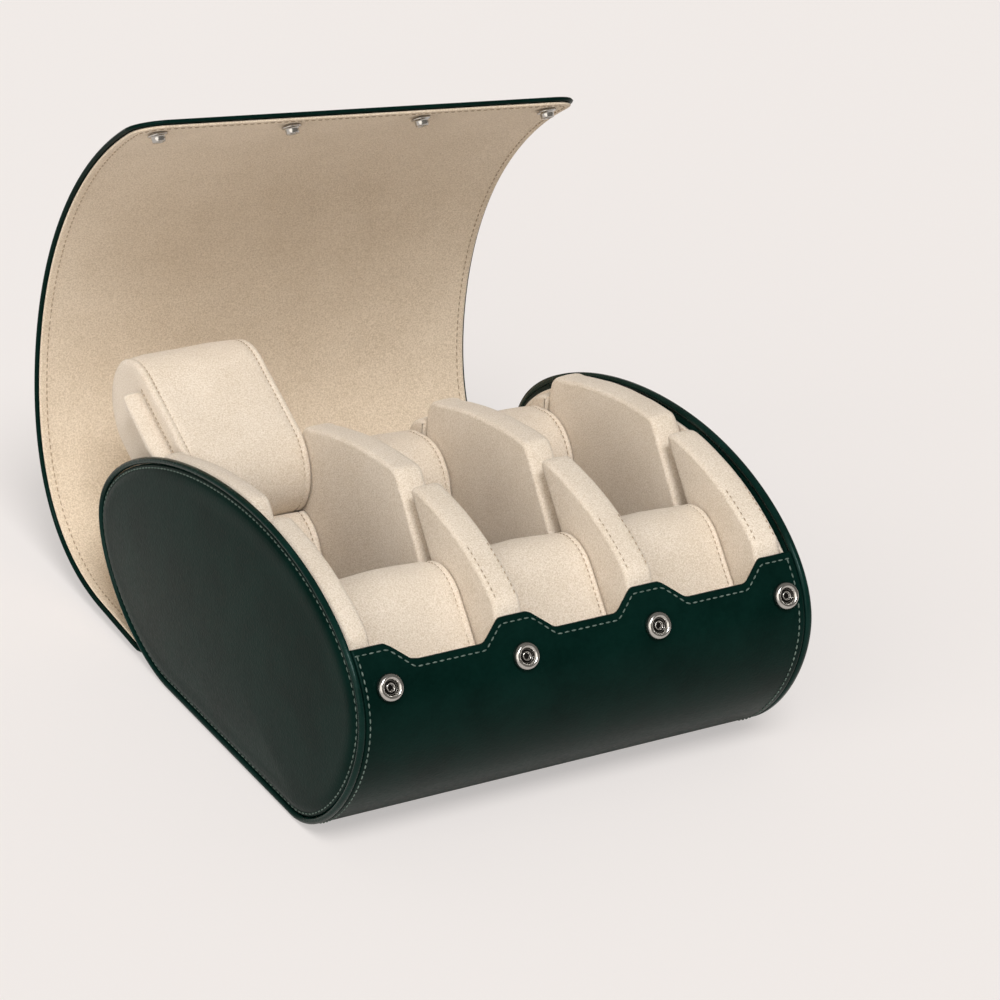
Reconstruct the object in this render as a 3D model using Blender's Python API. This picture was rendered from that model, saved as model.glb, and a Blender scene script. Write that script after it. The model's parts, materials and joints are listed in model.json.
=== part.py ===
"""Open double-row watch roll: a leather wrap with a scalloped front lip and a tall open lid,
two padded oval end panels, three rows of suede divider pads, watch cushions and snap fasteners.

Metres, +Z up. X runs along the roll, -Y is the front, and the origin is on the flat bottom.
Sections are drawn in the (y, z) plane.
"""
import math

import bpy
import bmesh
from mathutils import Vector

# Overall sizes of the closed oval
LENGTH = 0.200
FRONT_REACH = 0.1128
BACK_REACH = 0.1128
HEIGHT = 0.1137
APEX_Y = -0.022
FRONT_BULGE_Z = 0.063
BACK_BULGE_Z = 0.050
FLAT_FRONT_Y = -0.061
FLAT_BACK_Y = 0.046
ROUND_TOP_FRONT = 0.56
ROUND_LOW_FRONT = 0.45
ROUND_LOW_BACK = 0.48
ROUND_TOP_BACK = 0.49

# Sheet materials and the gap that touching pieces keep
LEATHER = 0.0016
LINING = 0.0011
GAP = 0.0003

# Lid: the rest of the wrap, laid back and curling up behind
LID_SLOPE = 0.07
LID_FLAT_END_Y = 0.112
LID_BACK_Y = 0.1776
LID_BACK_Z = 0.081
LID_TIP_Y = 0.084
LID_TIP_Z = 0.232
LID_TIP_LEAN = math.radians(150.0)
LID_BEND_SHARE = 0.62
LID_RIGHT_SHARE = 0.92
LID_CORNER_R = 0.014
LID_WIDEN_Y = 0.074
LID_WIDEN_RUN = 0.003
LINING_INSET = 0.0014

# Scalloped front lip
LIP_TAB_Z = 0.0912
LIP_TAB_HEIGHT = 0.0086
LIP_TAB_TOP = 0.013
LIP_TAB_RUN = 0.009

# End panels and their welts
WELT_WIDTH = 0.0032
WELT_DEPTH = 0.0038
PANEL_DEPTH = 0.0044
PANEL_DOME = 0.0030
PANEL_ROLL = 0.0070
PANEL_MID_Z = 0.055
END_LINING = 0.0010

# Divider pads
PAD_LINES = 4
PAD_END = 0.0127
PAD_THICK = 0.0120
PAD_EDGE = 0.0014
PAD_LEAN = math.radians(39.0)
REAR_PAD_FRONT_Y = -0.0150
REAR_PAD_BACK_Y = 0.0632
REAR_PAD_CORNER = 0.008
PAD_GROOVE = 0.0105
BACK_PAD_GAP = 0.0012
BACK_PAD_TOP_Z = 0.0875
BACK_PAD_DEPTH = 0.0138
BACK_PAD_CORNER = 0.0134

# Watch cushions
CUSHION_LONG = 0.079
CUSHION_THICK = 0.0455
CUSHION_CORNER = 0.019
CUSHION_SIDE_GAP = 0.0004
CUSHION_RIM = 0.0014
PRESS_GAP = 0.0006
DENT_PARTS = 12
RIB_LONG = 0.036
RIB_THICK = 0.013
RIB_RISE = 0.0042
RIB_SHIFT = 0.0080
RIB_CORNER = 0.0030
RIB_EDGE = 0.0010
FRONT_CUSHION_TURN = math.radians(-132.0)
FRONT_CUSHION_YZ = (-0.0678, 0.0566)
REAR_CUSHION_TURN = math.radians(80.0)
REAR_CUSHION_YZ = (0.0570, 0.0441)
LOW_CUSHION_TURN = math.radians(-17.0)
LOW_CUSHION_YZ = (0.0755, 0.0354)
RAISED_CUSHION_TURN = math.radians(35.0)
RAISED_CUSHION_YZ = (0.0919, 0.0880)

# Snap fasteners
SNAP_R = 0.0054
SNAP_RISE = 0.0026
SNAP_HOLE_R = 0.0021
SNAP_BELOW_TAB = 0.0170
STUD_FLANGE_R = 0.0040
STUD_POST_R = 0.0027
STUD_RISE = 0.0034
STUD_FROM_EDGE = 0.0125
SNAP_SIDES = 14

# Working values
WRAP = LEATHER + GAP + LINING
HALF = LENGTH / 2
BODY_HALF = HALF - WELT_DEPTH - GAP
PAD_PITCH = (LENGTH - 2 * PAD_END) / (PAD_LINES - 1)
PAD_X = [(i - (PAD_LINES - 1) / 2) * PAD_PITCH for i in range(PAD_LINES)]
PANEL_INNER = HALF - PANEL_DEPTH
SLOT_HALF = (PAD_PITCH - PAD_THICK) / 2
CUSHION_WIDE = 2 * (SLOT_HALF - CUSHION_SIDE_GAP)
STEPS = 72


def clear_scene():
    for item in list(bpy.data.objects):
        bpy.data.objects.remove(item, do_unlink=True)


def material(name, colour, roughness, metallic=0.0):
    mat = bpy.data.materials.new(name)
    mat.use_nodes = True
    shader = mat.node_tree.nodes["Principled BSDF"]
    shader.inputs["Base Color"].default_value = (*colour, 1.0)
    shader.inputs["Roughness"].default_value = roughness
    shader.inputs["Metallic"].default_value = metallic
    return mat


def bezier(p0, p1, p2, p3, steps):
    points = []
    for i in range(steps + 1):
        t = i / steps
        a = (1 - t) ** 3
        b = 3 * (1 - t) ** 2 * t
        c = 3 * (1 - t) * t * t
        d = t ** 3
        y = a * p0[0] + b * p1[0] + c * p2[0] + d * p3[0]
        z = a * p0[1] + b * p1[1] + c * p2[1] + d * p3[1]
        points.append((y, z))
    return points


def corner(start, end, share, first_flat, steps):
    """Quarter of an oval between two points whose tangents run along the axes."""
    if first_flat:
        p1 = (start[0] + share * (end[0] - start[0]), start[1])
        p2 = (end[0], end[1] - share * (end[1] - start[1]))
    else:
        p1 = (start[0], start[1] + share * (end[1] - start[1]))
        p2 = (end[0] - share * (end[0] - start[0]), end[1])
    return bezier(start, p1, p2, end, steps)


def front_down(steps):
    """The oval from its apex over the front to the start of the flat bottom."""
    bulge = (-FRONT_REACH, FRONT_BULGE_Z)
    top = corner((APEX_Y, HEIGHT), bulge, ROUND_TOP_FRONT, True, steps)
    low = corner(bulge, (FLAT_FRONT_Y, 0.0), ROUND_LOW_FRONT, False, steps)
    return top + low[1:]


def back_up(steps):
    """The oval from the end of the flat bottom up the back to its apex."""
    bulge = (BACK_REACH, BACK_BULGE_Z)
    low = corner((FLAT_BACK_Y, 0.0), bulge, ROUND_LOW_BACK, True, steps)
    top = corner(bulge, (APEX_Y, HEIGHT), ROUND_TOP_BACK, False, steps)
    return low + top[1:]


def inset(points, distance, closed):
    """Move a line to its left, which is inwards for the oval's direction of travel."""
    moved = []
    count = len(points)
    for i, point in enumerate(points):
        before = points[(i - 1) % count] if closed or i else points[0]
        after = points[(i + 1) % count] if closed or i < count - 1 else points[-1]
        run_y = after[0] - before[0]
        run_z = after[1] - before[1]
        size = math.hypot(run_y, run_z)
        moved.append((point[0] - distance * run_z / size, point[1] + distance * run_y / size))
    return moved


def oval(distance, steps):
    return inset(front_down(steps) + back_up(steps)[:-1], distance, True)


def lid_line(steps):
    """The lid's outer face, from the end of the flat bottom to its free edge."""
    start = (FLAT_BACK_Y, 0.0)
    foot = (LID_FLAT_END_Y, LID_SLOPE * (LID_FLAT_END_Y - FLAT_BACK_Y))
    run = LID_BACK_Y - foot[0]
    rise = LID_BACK_Z - foot[1]
    bend = bezier(
        foot,
        (foot[0] + LID_BEND_SHARE * run, foot[1] + LID_SLOPE * LID_BEND_SHARE * run),
        (LID_BACK_Y, LID_BACK_Z - LID_BEND_SHARE * rise),
        (LID_BACK_Y, LID_BACK_Z),
        steps,
    )
    turn = LID_TIP_LEAN - math.pi / 2
    chord = math.hypot(LID_BACK_Y - LID_TIP_Y, LID_TIP_Z - LID_BACK_Z)
    handle = chord / (2 * math.sin(turn / 2)) * 4 / 3 * math.tan(turn / 4)
    sweep = bezier(
        (LID_BACK_Y, LID_BACK_Z),
        (LID_BACK_Y, LID_BACK_Z + handle),
        (LID_TIP_Y - handle * math.cos(LID_TIP_LEAN), LID_TIP_Z - handle * math.sin(LID_TIP_LEAN)),
        (LID_TIP_Y, LID_TIP_Z),
        steps,
    )
    flat = [(start[0] + (foot[0] - start[0]) * i / 8, foot[1] * i / 8) for i in range(8)]
    return flat + bend[:-1] + sweep


class Path:
    """A line in the section plane that is read by its length from the oval's apex."""

    def __init__(self, points):
        self.points = points
        self.lengths = [0.0]
        for a, b in zip(points, points[1:]):
            self.lengths.append(self.lengths[-1] + math.dist(a, b))

    def at(self, length):
        """Point and unit direction at a length."""
        last = len(self.points) - 2
        i = 0
        while i < last and self.lengths[i + 1] < length:
            i += 1
        a = self.points[i]
        b = self.points[i + 1]
        span = self.lengths[i + 1] - self.lengths[i]
        t = (length - self.lengths[i]) / span
        point = (a[0] + t * (b[0] - a[0]), a[1] + t * (b[1] - a[1]))
        before = self.points[max(i - 1, 0)]
        after = self.points[min(i + 2, len(self.points) - 1)]
        size = math.dist(before, after)
        return point, ((after[0] - before[0]) / size, (after[1] - before[1]) / size)

    def end(self):
        return self.lengths[-1]

    def length_where(self, test):
        for point, length in zip(self.points, self.lengths):
            if test(point):
                return length
        return self.end()


BODY_LINE = front_down(STEPS)
WRAP_PATH = Path(BODY_LINE + lid_line(STEPS))
FLAT_BACK_S = WRAP_PATH.lengths[len(BODY_LINE)]
FLAT_FRONT_S = WRAP_PATH.lengths[len(BODY_LINE) - 1]
LIP_S = WRAP_PATH.length_where(lambda p: p[0] < APEX_Y and p[1] <= LIP_TAB_Z)
VALLEY_S = LIP_S + LIP_TAB_HEIGHT
WIDEN_S = FLAT_BACK_S + LID_WIDEN_Y - FLAT_BACK_Y
LID_END_S = WRAP_PATH.end()


def wrap_point(length, x, depth):
    """A point of the wrap at a depth under its outer face; the lid shrinks to the right."""
    point, along = WRAP_PATH.at(length)
    y = point[0]
    z = point[1]
    if length > FLAT_BACK_S:
        share = 1 - (1 - LID_RIGHT_SHARE) * (x / HALF + 1) / 2
        y = FLAT_BACK_Y + share * (y - FLAT_BACK_Y)
        z = share * z
    return Vector((x, y - depth * along[1], z + depth * along[0]))


def wrap_normal(length):
    """Direction into the roll."""
    along = WRAP_PATH.at(length)[1]
    return Vector((0.0, -along[1], along[0]))


def lip_drop(x):
    """How far the lip lies under its tabs: nothing on a tab, the full height in a valley."""
    nearest = min(abs(x - pad) for pad in PAD_X)
    outside = abs(x) > PAD_X[-1]
    if outside:
        return 0.0
    share = (nearest - LIP_TAB_TOP / 2) / LIP_TAB_RUN
    return LIP_TAB_HEIGHT * min(max(share, 0.0), 1.0)


def lid_corner_drop(x, half, radius):
    """How far the free edge falls back at the lid's rounded corners."""
    over = abs(x) - (half - radius)
    if over <= 0:
        return 0.0
    return radius - math.sqrt(max(radius * radius - over * over, 0.0))


def wrap_columns(edge):
    """Places across the wrap: the corners of every tab, and the steps of the lid's corners."""
    places = {0.0}
    for pad in PAD_X:
        for side in (-1, 1):
            places.add(pad + side * LIP_TAB_TOP / 2)
            places.add(pad + side * (LIP_TAB_TOP / 2 + LIP_TAB_RUN))
    places = [x for x in places if abs(x) < edge - 0.004]
    for turn in (0.0, 0.30, 0.52):
        x = BODY_HALF * (1 - LID_CORNER_R / HALF * (1 - math.sin(turn * math.pi)))
        if turn == 0.0 or x < edge:
            places += [x, -x]
    places += [edge, -edge]
    return sorted(set(round(x, 6) for x in places if abs(x) <= edge))


def wrap_rows():
    """Lengths along the wrap, close together only where it bends."""
    rows = []
    stretches = [
        (VALLEY_S + 0.0015, FLAT_FRONT_S, 13),
        (FLAT_FRONT_S, FLAT_BACK_S, 1),
        (FLAT_BACK_S, WIDEN_S, 1),
        (WIDEN_S, WIDEN_S + LID_WIDEN_RUN, 1),
        (WIDEN_S + LID_WIDEN_RUN, FLAT_BACK_S + LID_FLAT_END_Y - FLAT_BACK_Y, 1),
    ]
    bend_end = WRAP_PATH.length_where(lambda p: p[0] >= LID_BACK_Y - 1e-6)
    stretches.append((stretches[-1][1], bend_end, 9))
    stretches.append((bend_end, LID_END_S - LID_CORNER_R - 0.003, 8))
    for start, end, count in stretches:
        rows += [start + (end - start) * i / count for i in range(count)]
    rows.append(stretches[-1][1])
    return rows


def grid_shell(name, outer, inner, mat):
    """A closed sheet between two grids of points."""
    mesh = bmesh.new()
    rows = len(outer)
    cols = len(outer[0])
    top = [[mesh.verts.new(p) for p in row] for row in outer]
    low = [[mesh.verts.new(p) for p in row] for row in inner]
    for i in range(rows - 1):
        for j in range(cols - 1):
            mesh.faces.new((top[i][j], top[i][j + 1], top[i + 1][j + 1], top[i + 1][j]))
            mesh.faces.new((low[i][j], low[i + 1][j], low[i + 1][j + 1], low[i][j + 1]))
    for i in range(rows - 1):
        mesh.faces.new((top[i][0], top[i + 1][0], low[i + 1][0], low[i][0]))
        mesh.faces.new((top[i][-1], low[i][-1], low[i + 1][-1], top[i + 1][-1]))
    for j in range(cols - 1):
        mesh.faces.new((top[0][j], low[0][j], low[0][j + 1], top[0][j + 1]))
        mesh.faces.new((top[-1][j], top[-1][j + 1], low[-1][j + 1], low[-1][j]))
    return finish(name, mesh, mat)


def loop_body(name, loops, mat):
    """A closed body through rings of equally many points, capped at both ends."""
    mesh = bmesh.new()
    rings = [[mesh.verts.new(p) for p in loop] for loop in loops]
    count = len(rings[0])
    for a, b in zip(rings, rings[1:]):
        for i in range(count):
            k = (i + 1) % count
            mesh.faces.new((a[i], a[k], b[k], b[i]))
    mesh.faces.new(list(reversed(rings[0])))
    mesh.faces.new(rings[-1])
    return finish(name, mesh, mat)


def ring_body(name, loops, mat):
    """A closed ring through loops that meet again at the first one."""
    mesh = bmesh.new()
    rings = [[mesh.verts.new(p) for p in loop] for loop in loops]
    count = len(rings[0])
    for a, b in zip(rings, rings[1:] + rings[:1]):
        for i in range(count):
            k = (i + 1) % count
            mesh.faces.new((a[i], a[k], b[k], b[i]))
    return finish(name, mesh, mat)


def finish(name, mesh, mat, smooth=40.0):
    bmesh.ops.recalc_face_normals(mesh, faces=mesh.faces[:])
    data = bpy.data.meshes.new(name)
    mesh.to_mesh(data)
    mesh.free()
    data.materials.append(mat)
    data.shade_smooth()
    data.set_sharp_from_angle(angle=math.radians(smooth))
    obj = bpy.data.objects.new(name, data)
    bpy.context.collection.objects.link(obj)
    return obj


def make_sheet(name, depth, thick, edge_inset, mat):
    """Leather or lining: lip, front, bottom and lid in one piece."""
    columns = wrap_columns(BODY_HALF - edge_inset)
    body_edge = BODY_HALF - edge_inset
    lid_edge = HALF - edge_inset
    radius = LID_CORNER_R - edge_inset
    rows = wrap_rows()
    outer = []
    inner = []
    lengths = [None] + rows + [None]
    for k, fixed in enumerate(lengths):
        row_out = []
        row_in = []
        for x in columns:
            length = fixed
            if k == 0:
                length = LIP_S + lip_drop(x) + edge_inset
            wide = length is None or length > WIDEN_S + LID_WIDEN_RUN / 2
            place = x * lid_edge / body_edge if wide else x
            if length is None:
                length = LID_END_S - edge_inset - lid_corner_drop(place, lid_edge, radius)
            row_out.append(wrap_point(length, place, depth))
            row_in.append(wrap_point(length, place, depth + thick))
        outer.append(row_out)
        inner.append(row_in)
    return grid_shell(name, outer, inner, mat)


def make_end(side, name, leather, suede):
    """Padded end panel, the welt round it and the suede on its inside."""
    def ring(distance, x):
        return [Vector((side * x, y, z)) for y, z in oval(distance, 11)]

    def scaled(share, x):
        points = oval(rim + PANEL_ROLL, 11)
        return [Vector((side * x, share * y, PANEL_MID_Z + share * (z - PANEL_MID_Z))) for y, z in points]

    rim = WELT_WIDTH + GAP
    loop_body(f"end_panel_{name}", [
        ring(rim, PANEL_INNER),
        ring(rim, HALF - 0.0008),
        ring(rim + 0.0012, HALF + 0.0004),
        scaled(1.0, HALF + 0.35 * PANEL_DOME),
        scaled(0.80, HALF + 0.70 * PANEL_DOME),
        scaled(0.55, HALF + 0.92 * PANEL_DOME),
        scaled(0.28, HALF + PANEL_DOME),
    ], leather)
    low = HALF - WELT_DEPTH
    soft = 0.0010
    ring_body(f"end_welt_{name}", [
        ring(0.0, low),
        ring(0.0, HALF - soft),
        ring(soft, HALF),
        ring(WELT_WIDTH - soft, HALF),
        ring(WELT_WIDTH, HALF - soft),
        ring(WELT_WIDTH, low),
    ], leather)
    inner = PANEL_INNER - GAP
    loop_body(f"end_lining_{name}", [
        ring(rim, inner),
        ring(rim, inner - END_LINING),
    ], suede)


def arc(centre, radius, start, end, steps):
    points = []
    for i in range(steps + 1):
        angle = math.radians(start + (end - start) * i / steps)
        points.append((centre[0] + radius * math.cos(angle), centre[1] + radius * math.sin(angle)))
    return points


def pad_body(name, outline, x, mat):
    """A divider pad: an outline in the section plane with softened edges."""
    half = PAD_THICK / 2
    outer_line = inset(outline, 0.0, True)
    inner_line = inset(outline, PAD_EDGE, True)
    middle_line = inset(outline, PAD_EDGE * 0.3, True)

    def ring(line, offset):
        return [Vector((x + offset, y, z)) for y, z in line]

    low = half - PAD_EDGE
    mid = half - PAD_EDGE * 0.3
    return loop_body(name, [
        ring(inner_line, -half),
        ring(middle_line, -mid),
        ring(outer_line, -low),
        ring(outer_line, low),
        ring(middle_line, mid),
        ring(inner_line, half),
    ], mat)


def lean_line_y(top_y, z):
    """The leaning cut between the front and the rear pads."""
    return top_y - (HEIGHT - z) * math.tan(PAD_LEAN)


def thin_out(points, spacing):
    """Leave out points that lie closer together than the spacing."""
    kept = [points[0]]
    for point in points[1:]:
        if math.dist(point, kept[-1]) >= spacing:
            kept.append(point)
    if math.dist(kept[-1], kept[0]) < spacing:
        kept.pop()
    return kept


def inside_line():
    """Just inside the lining, from the lip down the front to the flat bottom."""
    places = [LIP_S] + [length for length in wrap_rows() if length <= FLAT_FRONT_S]
    points = [wrap_point(length, 0.0, WRAP + GAP) for length in places]
    return [(p.y, p.z) for p in points]


def rear_pad_outline():
    """Tall rear lobe: oval top, round back corner and a leaning front edge."""
    crown = [p for p in back_up(STEPS) if REAR_PAD_FRONT_Y + 0.003 < p[0] < REAR_PAD_BACK_Y]
    crown = [p for p in crown if p[1] > BACK_BULGE_Z]
    crown = [p for p in crown if p[0] < REAR_PAD_BACK_Y - REAR_PAD_CORNER]
    back_top = crown[0][1]
    round_back = arc(
        (REAR_PAD_BACK_Y - REAR_PAD_CORNER, back_top - REAR_PAD_CORNER),
        REAR_PAD_CORNER, 0.0, 72.0, 4)
    floor = WRAP + GAP
    front = [p for p in inside_line() if p[0] > lean_line_y(REAR_PAD_FRONT_Y, p[1]) + 0.002]
    foot = (FLAT_BACK_Y, floor)
    heel = (REAR_PAD_BACK_Y, floor + LID_SLOPE * (REAR_PAD_BACK_Y - FLAT_BACK_Y) + GAP)
    top = [(REAR_PAD_FRONT_Y + 0.0012, HEIGHT - 0.0005), (REAR_PAD_FRONT_Y - 0.0016, HEIGHT - 0.0026)]
    return front + [foot, heel] + round_back + thin_out(crown, 0.007) + top


def front_pad_outline():
    """Low front lobe between the leaning groove and the front wall."""
    top_y = REAR_PAD_FRONT_Y - PAD_GROOVE
    wall = [p for p in inside_line() if p[0] < lean_line_y(top_y, p[1])]
    wall = [p for p in wall if p[1] < LIP_TAB_Z + 0.0006]
    crown = [p for p in inset(BODY_LINE, GAP, False) if p[1] > LIP_TAB_Z + 0.0035]
    crown = [p for p in crown if p[0] < top_y - 0.0035]
    nose = [(top_y - 0.0006, HEIGHT - 0.0026), (top_y - 0.0028, HEIGHT - 0.0007)]
    return nose + thin_out(crown, 0.006) + wall


def back_pad_outline():
    """Small pad behind each rear lobe, with a round back shoulder."""
    front = REAR_PAD_BACK_Y + BACK_PAD_GAP
    back = front + BACK_PAD_DEPTH
    floor = WRAP + GAP + LID_SLOPE * (back - FLAT_BACK_Y) + GAP
    shoulder = arc((back - BACK_PAD_CORNER, BACK_PAD_TOP_Z - BACK_PAD_CORNER), BACK_PAD_CORNER, 0.0, 90.0, 5)
    return [(front, floor), (back, floor)] + shoulder + [(front, BACK_PAD_TOP_Z)]


def rounded_outline(long, thick, radius, steps):
    """A rectangle with round corners, as points round its centre."""
    points = []
    for quarter, (sy, sz) in enumerate(((1, 1), (-1, 1), (-1, -1), (1, -1))):
        centre = (sy * (long / 2 - radius), sz * (thick / 2 - radius))
        points += arc(centre, radius, 90.0 * quarter, 90.0 * quarter + 90.0, steps)
    return points


def split_sides(points, parts):
    """Add points on a closed line, equally many between every two."""
    out = []
    for a, b in zip(points, points[1:] + points[:1]):
        count = parts if math.dist(a, b) > 0.005 else 1
        out += [(a[0] + (b[0] - a[0]) * i / count, a[1] + (b[1] - a[1]) * i / count) for i in range(count)]
    return out


def pressed(point):
    """Move a point of the low cushion out of the raised cushion that lies on it."""
    cosine = math.cos(RAISED_CUSHION_TURN)
    sine = math.sin(RAISED_CUSHION_TURN)
    run_y = point[0] - RAISED_CUSHION_YZ[0]
    run_z = point[1] - RAISED_CUSHION_YZ[1]
    a = cosine * run_y + sine * run_z
    b = cosine * run_z - sine * run_y
    over_a = max(abs(a) - CUSHION_LONG / 2 + CUSHION_CORNER, 0.0)
    over_b = max(abs(b) - CUSHION_THICK / 2 + CUSHION_CORNER, 0.0)
    away = math.hypot(over_a, over_b)
    need = CUSHION_CORNER + PRESS_GAP
    if away >= need or away == 0.0:
        return point
    push_a = math.copysign(over_a, a) / away * (need - away)
    push_b = math.copysign(over_b, b) / away * (need - away)
    return (point[0] + cosine * push_a - sine * push_b, point[1] + sine * push_a + cosine * push_b)


def make_cushion(name, x, place, turn, mat, rib_rise=0.0, dented=False):
    """Suede sleeve on a foam core, with a sewn rib on its left end that is pressed flat in a slot."""
    half = CUSHION_WIDE / 2
    cosine = math.cos(turn)
    sine = math.sin(turn)

    def ring(offset, long, thick, radius, shift=0.0):
        line = split_sides(rounded_outline(long, thick, radius, 4), DENT_PARTS if dented else 1)
        loop = []
        for a, b in line:
            spot = (cosine * (a + shift) - sine * b, sine * (a + shift) + cosine * b)
            if dented:
                moved = pressed((spot[0] + place[0], spot[1] + place[1]))
                spot = (moved[0] - place[0], moved[1] - place[1])
            loop.append(Vector((offset, spot[0], spot[1])))
        return loop

    def sleeve(offset, shrink):
        return ring(offset, CUSHION_LONG - 2 * shrink, CUSHION_THICK - 2 * shrink, CUSHION_CORNER - shrink)

    def rib(offset, shrink=0.0):
        return ring(offset, RIB_LONG - 2 * shrink, RIB_THICK - 2 * shrink, RIB_CORNER - shrink, RIB_SHIFT)

    loops = []
    if rib_rise:
        loops = [rib(-half - rib_rise, RIB_EDGE), rib(-half - rib_rise + RIB_EDGE), rib(-half)]
    loops += [
        sleeve(-half, CUSHION_RIM),
        sleeve(-half + CUSHION_RIM, 0.0),
        sleeve(half - CUSHION_RIM, 0.0),
        sleeve(half, CUSHION_RIM),
    ]
    obj = loop_body(name, loops, mat)
    obj.location = (x, place[0], place[1])
    return obj


def turned(name, profile, place, axis, mat):
    """A round fastener turned from (radius, height) points, standing along an axis."""
    turn = Vector((0.0, 0.0, 1.0)).rotation_difference(axis).to_matrix()
    loops = []
    for radius, height in profile:
        loop = []
        for i in range(SNAP_SIDES):
            angle = 2 * math.pi * i / SNAP_SIDES
            spot = Vector((radius * math.cos(angle), radius * math.sin(angle), height))
            loop.append(turn @ spot)
        loops.append(loop)
    obj = loop_body(name, loops, mat)
    obj.location = place
    return obj


def make_front_snap(name, x, nickel):
    """Domed ring with a deep round hole, on the outside of a tab."""
    length = LIP_S + SNAP_BELOW_TAB
    profile = [
        (SNAP_R, 0.0),
        (SNAP_R, 0.0006),
        (SNAP_R * 0.86, SNAP_RISE * 0.72),
        (SNAP_R * 0.64, SNAP_RISE),
        (SNAP_HOLE_R * 1.25, SNAP_RISE * 0.94),
        (SNAP_HOLE_R, SNAP_RISE * 0.75),
        (SNAP_HOLE_R, 0.0009),
    ]
    turned(name, profile, wrap_point(length, x, -GAP * 1.6), -wrap_normal(length), nickel)


def make_lid_stud(name, x, nickel):
    """Flat flange with a hollow post, on the lid's lining."""
    length = LID_END_S - STUD_FROM_EDGE
    hole = STUD_POST_R * 0.55
    profile = [
        (STUD_FLANGE_R, 0.0),
        (STUD_FLANGE_R, 0.0007),
        (STUD_POST_R * 1.1, 0.0010),
        (STUD_POST_R, STUD_RISE * 0.86),
        (STUD_POST_R * 0.9, STUD_RISE),
        (hole, STUD_RISE),
        (hole, 0.0012),
    ]
    turned(name, profile, wrap_point(length, x, WRAP + GAP * 1.6), wrap_normal(length), nickel)


def build():
    clear_scene()
    leather = material("green_leather", (0.004, 0.022, 0.017), 0.38)
    suede = material("beige_suede", (0.72, 0.58, 0.44), 0.95)
    nickel = material("nickel", (0.62, 0.60, 0.57), 0.22, 1.0)

    make_sheet("leather_wrap", 0.0, LEATHER, 0.0, leather)
    make_sheet("suede_lining", LEATHER + GAP, LINING, LINING_INSET, suede)
    make_end(-1, "left", leather, suede)
    make_end(1, "right", leather, suede)
    for i, x in enumerate(PAD_X, 1):
        pad_body(f"rear_divider_{i}", rear_pad_outline(), x, suede)
        pad_body(f"front_divider_{i}", front_pad_outline(), x, suede)
        pad_body(f"back_pad_{i}", back_pad_outline(), x, suede)
        make_front_snap(f"front_snap_{i}", x, nickel)
        make_lid_stud(f"lid_stud_{i}", x, nickel)
    slots = [(a + b) / 2 for a, b in zip(PAD_X, PAD_X[1:])]
    for i, x in enumerate(slots, 1):
        make_cushion(f"front_cushion_{i}", x, FRONT_CUSHION_YZ, FRONT_CUSHION_TURN, suede)
        place = LOW_CUSHION_YZ if i == 1 else REAR_CUSHION_YZ
        turn = LOW_CUSHION_TURN if i == 1 else REAR_CUSHION_TURN
        make_cushion(f"rear_cushion_{i}", x, place, turn, suede, dented=i == 1)
    make_cushion("raised_cushion", slots[0], RAISED_CUSHION_YZ, RAISED_CUSHION_TURN, suede, RIB_RISE)


build()
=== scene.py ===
"""Looks of the open watch roll: green leather wrap and end caps, beige suede lining, divider lobes,
watch cushions, stitching and nickel snaps. Metres, with X along the roll, -Y to the front, +Z up."""
import json
import math

import bmesh
import bpy
from mathutils import Matrix, Vector, noise

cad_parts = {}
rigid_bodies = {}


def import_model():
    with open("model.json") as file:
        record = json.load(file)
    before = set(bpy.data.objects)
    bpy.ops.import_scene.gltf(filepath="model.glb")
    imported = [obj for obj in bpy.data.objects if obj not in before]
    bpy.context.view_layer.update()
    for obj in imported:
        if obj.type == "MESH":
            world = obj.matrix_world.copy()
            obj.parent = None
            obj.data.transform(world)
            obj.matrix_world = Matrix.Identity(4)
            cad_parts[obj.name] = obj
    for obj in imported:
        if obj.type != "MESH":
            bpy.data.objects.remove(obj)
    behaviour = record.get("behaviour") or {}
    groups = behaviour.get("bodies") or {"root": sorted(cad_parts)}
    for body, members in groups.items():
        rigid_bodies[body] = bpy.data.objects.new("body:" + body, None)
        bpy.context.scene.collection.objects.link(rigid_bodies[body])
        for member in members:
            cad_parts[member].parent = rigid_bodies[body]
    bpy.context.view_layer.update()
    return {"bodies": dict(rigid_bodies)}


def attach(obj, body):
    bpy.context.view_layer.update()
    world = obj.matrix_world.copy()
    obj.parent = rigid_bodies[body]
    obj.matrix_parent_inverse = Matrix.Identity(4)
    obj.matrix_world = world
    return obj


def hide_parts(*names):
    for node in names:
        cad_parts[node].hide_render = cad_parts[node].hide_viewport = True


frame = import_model()
BODY = list(frame["bodies"])[0]

# Sizes shared by the pieces, mostly as in the part's source. The photo's left end is uneven: there the
# body is wider, its lip tab and divider lobes stand further out and its cushions are longer.
HALF = 0.100
BODY_HALF = 0.0959
BODY_LEFT = 0.0984
HEIGHT = 0.1137
APEX = (-0.022, HEIGHT)
FRONT_BULGE = (-0.1128, 0.063)
FLAT_FRONT = (-0.061, 0.0)
FLAT_BACK = (0.046, 0.0)
BACK_BULGE = (0.1128, 0.050)
FRONT_PULLS = (0.56, 0.45)
BACK_PULLS = (0.48, 0.49)
LEATHER = 0.0016
GAP = 0.0003
LINING = 0.0011
WRAP = LEATHER + GAP + LINING
LINING_EDGE = 0.0014
LID_FOOT_Y = 0.112
LID_SLOPE = 0.07
LID_PULL = 0.62
LID_BACK = (0.1776, 0.081)
LID_TIP = (0.084, 0.232)
LID_LEAN = math.radians(150.0)
RIGHT_SHARE = 0.92
LID_CORNER = 0.014
WIDEN_Y = 0.074
WIDEN_RUN = 0.004
LIP_Z = 0.0912
TAB_HEIGHT = 0.0086
TAB_TOP = 0.013
TAB_RUN = 0.009
TAB_BLUR = 0.0004
TAB_X = [-0.0903, -0.0291, 0.0291, 0.0873]
PAD_X = [-0.0873, -0.0291, 0.0291, 0.0873]
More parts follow.
